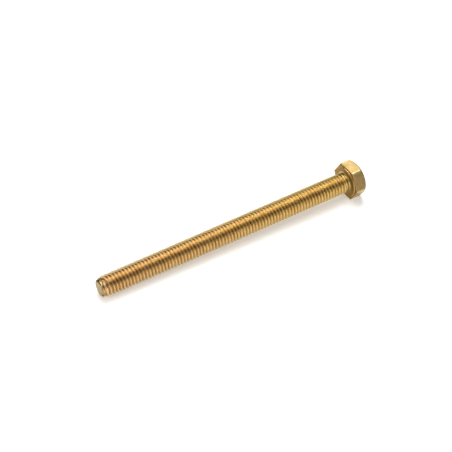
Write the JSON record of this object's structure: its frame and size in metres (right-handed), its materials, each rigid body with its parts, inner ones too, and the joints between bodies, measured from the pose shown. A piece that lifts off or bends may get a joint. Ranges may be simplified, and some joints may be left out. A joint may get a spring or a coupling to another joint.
{
  "type": "hex bolt",
  "caption": "Brass hexagon-head bolt, right-hand thread run up to the head, with washer face, chamfered head and rounded point.",
  "frame": {"origin": "point where the bolt's axis meets the plane of the bearing face under the head", "axes": "the bolt lies along X, head towards +X and point towards -X; two of the six wrench flats face +Z and -Z, and two hexagon corners point along +Y and -Y"},
  "size_m": [0.084, 0.0114, 0.0098],
  "materials": {
    "brass": "bright drawn brass, machine rolled thread"
  },
  "bodies": {
    "root": {"hex_bolt": "brass"}
  },
  "joints": []
}
